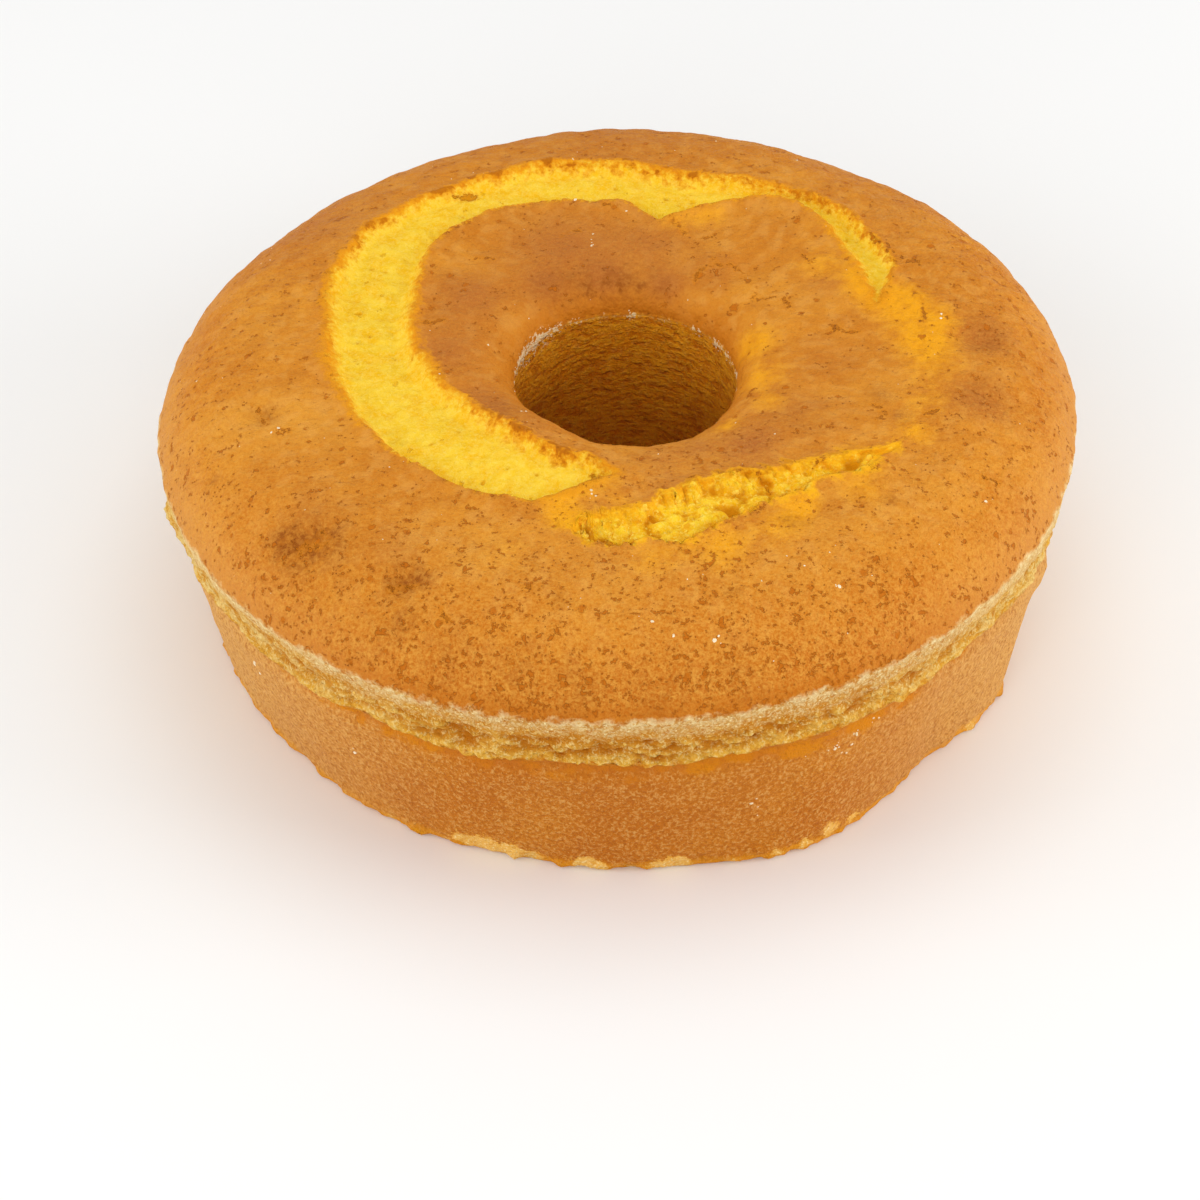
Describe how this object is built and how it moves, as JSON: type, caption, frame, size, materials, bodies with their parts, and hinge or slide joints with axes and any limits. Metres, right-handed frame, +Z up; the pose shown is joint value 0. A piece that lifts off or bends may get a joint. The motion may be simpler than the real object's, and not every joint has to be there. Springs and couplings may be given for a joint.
{
  "type": "orange ring cake",
  "caption": "Whole ring-shaped orange sponge cake with a domed brown crust that split open over yellow crumb, a torn ledge under the rim and a hole through its middle.",
  "frame": {"origin": "middle of the base, under the centre of the cake's width and depth", "axes": "+Z up through the hole, +X to the right and -Y to the front as the cake is shown"},
  "size_m": [0.2408, 0.241, 0.0878],
  "materials": {
    "browned_sponge": "matte baked sponge: brown pitted crust, yellow open crumb in the splits, pale floury band under the rim, tan tin-baked side"
  },
  "bodies": {
    "root": {"cake": "browned_sponge"}
  },
  "joints": []
}
